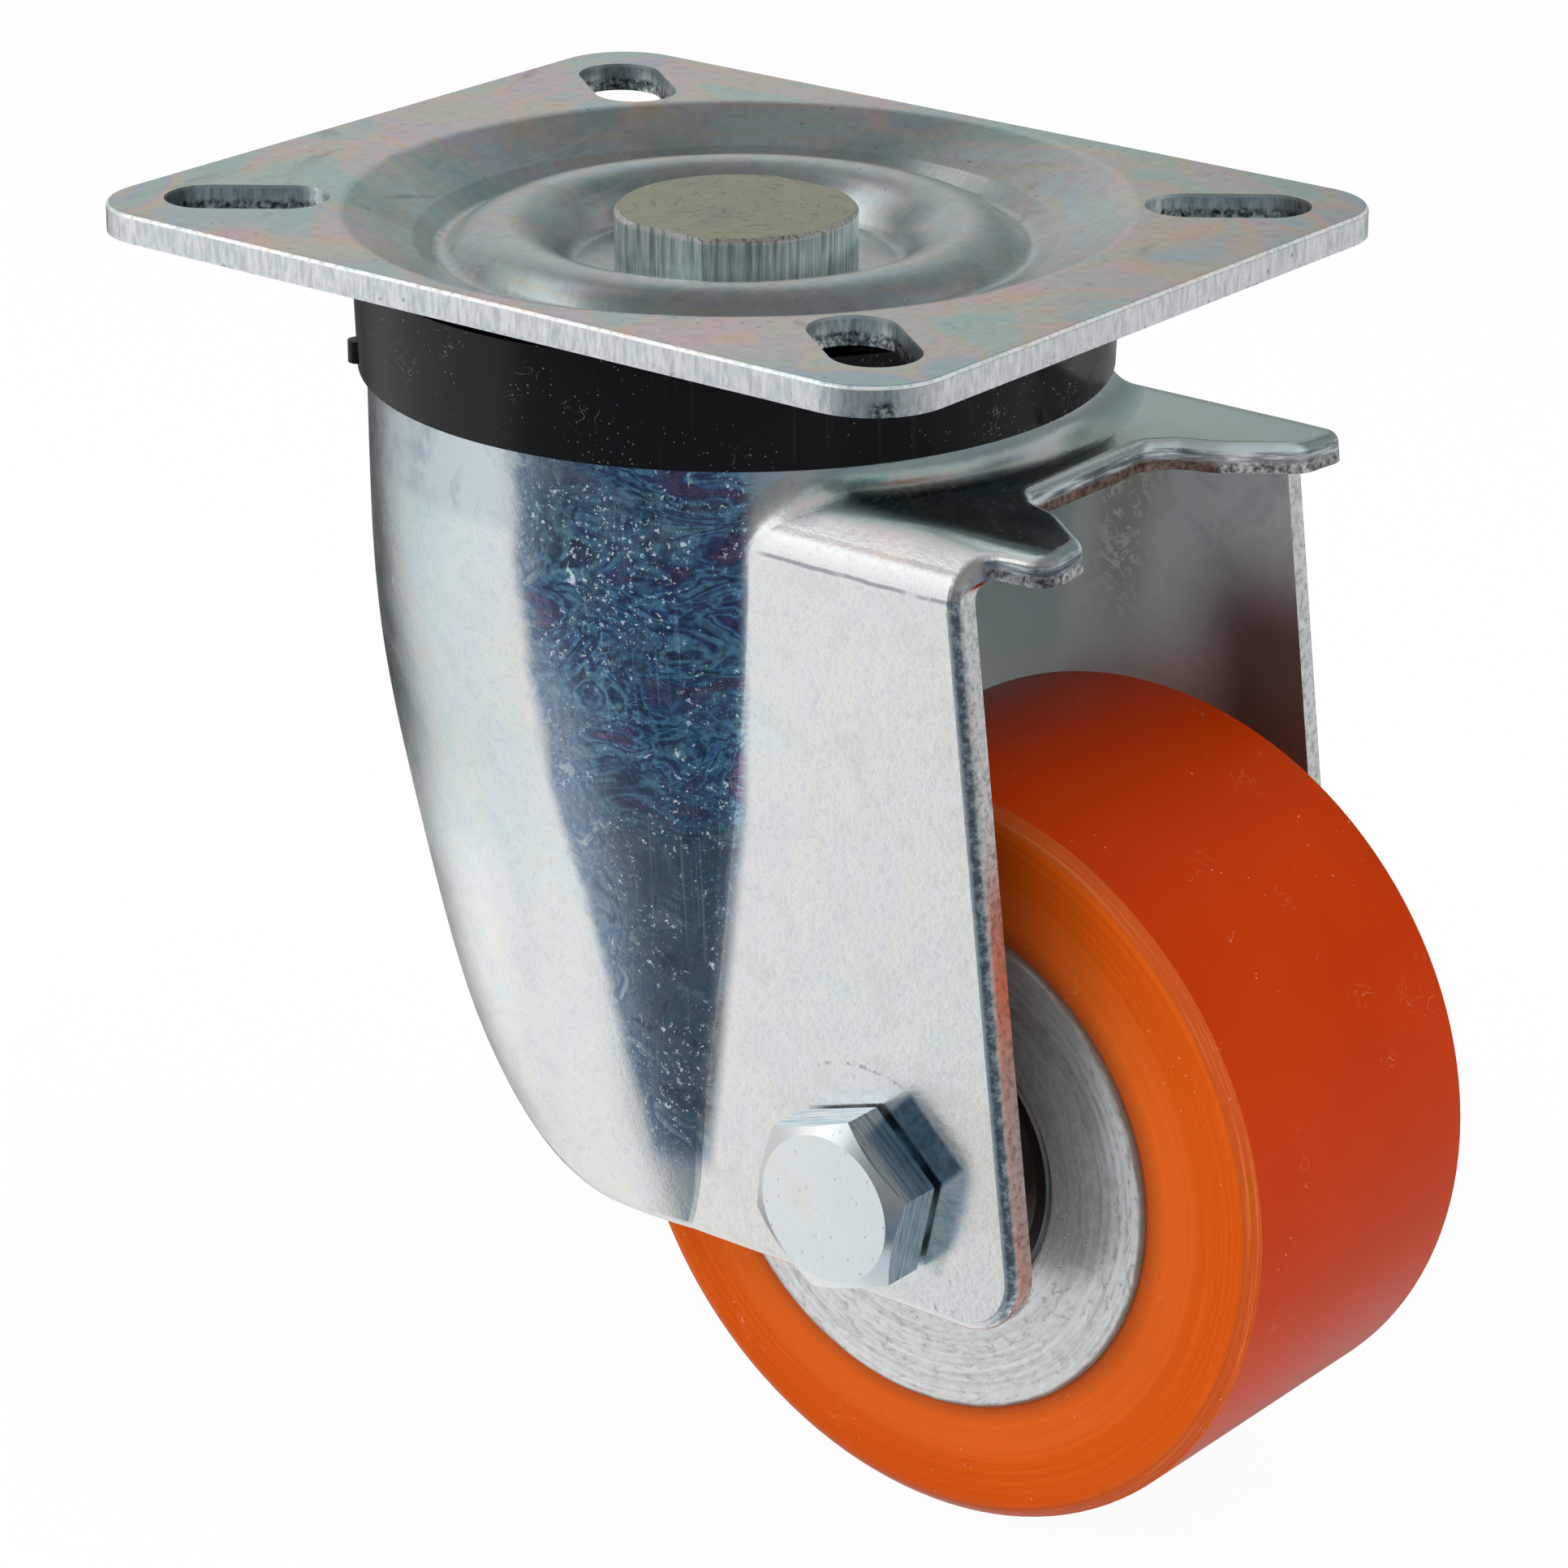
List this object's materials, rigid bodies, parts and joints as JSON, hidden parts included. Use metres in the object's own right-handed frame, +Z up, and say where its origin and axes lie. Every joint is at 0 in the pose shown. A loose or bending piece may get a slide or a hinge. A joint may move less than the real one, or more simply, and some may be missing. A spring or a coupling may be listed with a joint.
{
  "type": "swivel castor",
  "caption": "Swivel castor: rectangular top plate with slotted holes, domed one-piece steel fork and an orange-treaded metal wheel turning on ball bearings.",
  "frame": {"origin": "centre of the top plate's upper face, on the swivel axis", "axes": "+Z up out of the plate, +X along the plate's long side and towards the trailing wheel, Y along the wheel's axle with the bolt head on the -Y side"},
  "size_m": [0.1325, 0.085, 0.128],
  "materials": {
    "plate_zinc": "zinc plated and yellow-green passivated pressed steel, faint rainbow tints",
    "kingpin_steel": "zinc plated cold-headed steel, fine scratches",
    "cup_steel": "zinc plated pressed steel",
    "nut_zinc": "zinc plated steel",
    "ball_steel": "polished bearing steel",
    "black_plastic": "glossy moulded black plastic",
    "fork_zinc": "bright zinc plated pressed steel with blue and purple tints",
    "bolt_zinc": "pale zinc plated steel",
    "nylon": "natural nylon",
    "bush_steel": "zinc plated turned steel",
    "core_metal": "turned face with fine concentric tool marks",
    "orange_tread": "satin cast polyurethane, turned side faces",
    "bearing_steel": "ground bearing steel",
    "cage_plastic": "moulded polyamide",
    "shield_sheet": "thin pressed steel sheet, slightly oiled"
  },
  "bodies": {
    "plate": {"top_plate": "plate_zinc", "kingpin": "kingpin_steel", "lower_race_cup": "cup_steel", "kingpin_nut": "nut_zinc"},
    "swivel_balls": {"upper_swivel_balls": "ball_steel", "lower_swivel_balls": "ball_steel"},
    "fork": {"fork": "fork_zinc", "dust_ring": "black_plastic", "axle_bolt": "bolt_zinc", "axle_nut": "nut_zinc", "axle_nut_insert": "nylon", "axle_sleeve": "bush_steel", "near_spacer": "bush_steel", "far_spacer": "bush_steel", "distance_tube": "bush_steel", "near_bearing_inner_ring": "bearing_steel", "far_bearing_inner_ring": "bearing_steel"},
    "bearing_balls": {"near_bearing_balls": "ball_steel", "near_bearing_cage": "cage_plastic", "far_bearing_balls": "ball_steel", "far_bearing_cage": "cage_plastic"},
    "wheel": {"wheel_core": "core_metal", "tyre": "orange_tread", "near_bearing_outer_ring": "bearing_steel", "near_bearing_outer_shield": "shield_sheet", "near_bearing_inner_shield": "shield_sheet", "far_bearing_outer_ring": "bearing_steel", "far_bearing_outer_shield": "shield_sheet", "far_bearing_inner_shield": "shield_sheet"}
  },
  "joints": [
    {"name": "swivel", "type": "hinge", "parent": "plate", "child": "fork", "pos_m": [0, 0, -0.009], "axis": [0, 0, 1], "continuous": true},
    {"name": "swivel_ball_roll", "type": "hinge", "parent": "plate", "child": "swivel_balls", "pos_m": [0, 0, -0.009], "axis": [0, 0, 1], "continuous": true},
    {"name": "wheel_turn", "type": "hinge", "parent": "fork", "child": "wheel", "pos_m": [0.04, 0, -0.088], "axis": [0, 1, 0], "continuous": true},
    {"name": "bearing_ball_roll", "type": "hinge", "parent": "fork", "child": "bearing_balls", "pos_m": [0.04, 0, -0.088], "axis": [0, 1, 0], "continuous": true}
  ],
  "couplings": [
    {"joint": "swivel_ball_roll", "follows": "swivel", "ratio": 0.5},
    {"joint": "bearing_ball_roll", "follows": "wheel_turn", "ratio": 0.634}
  ]
}
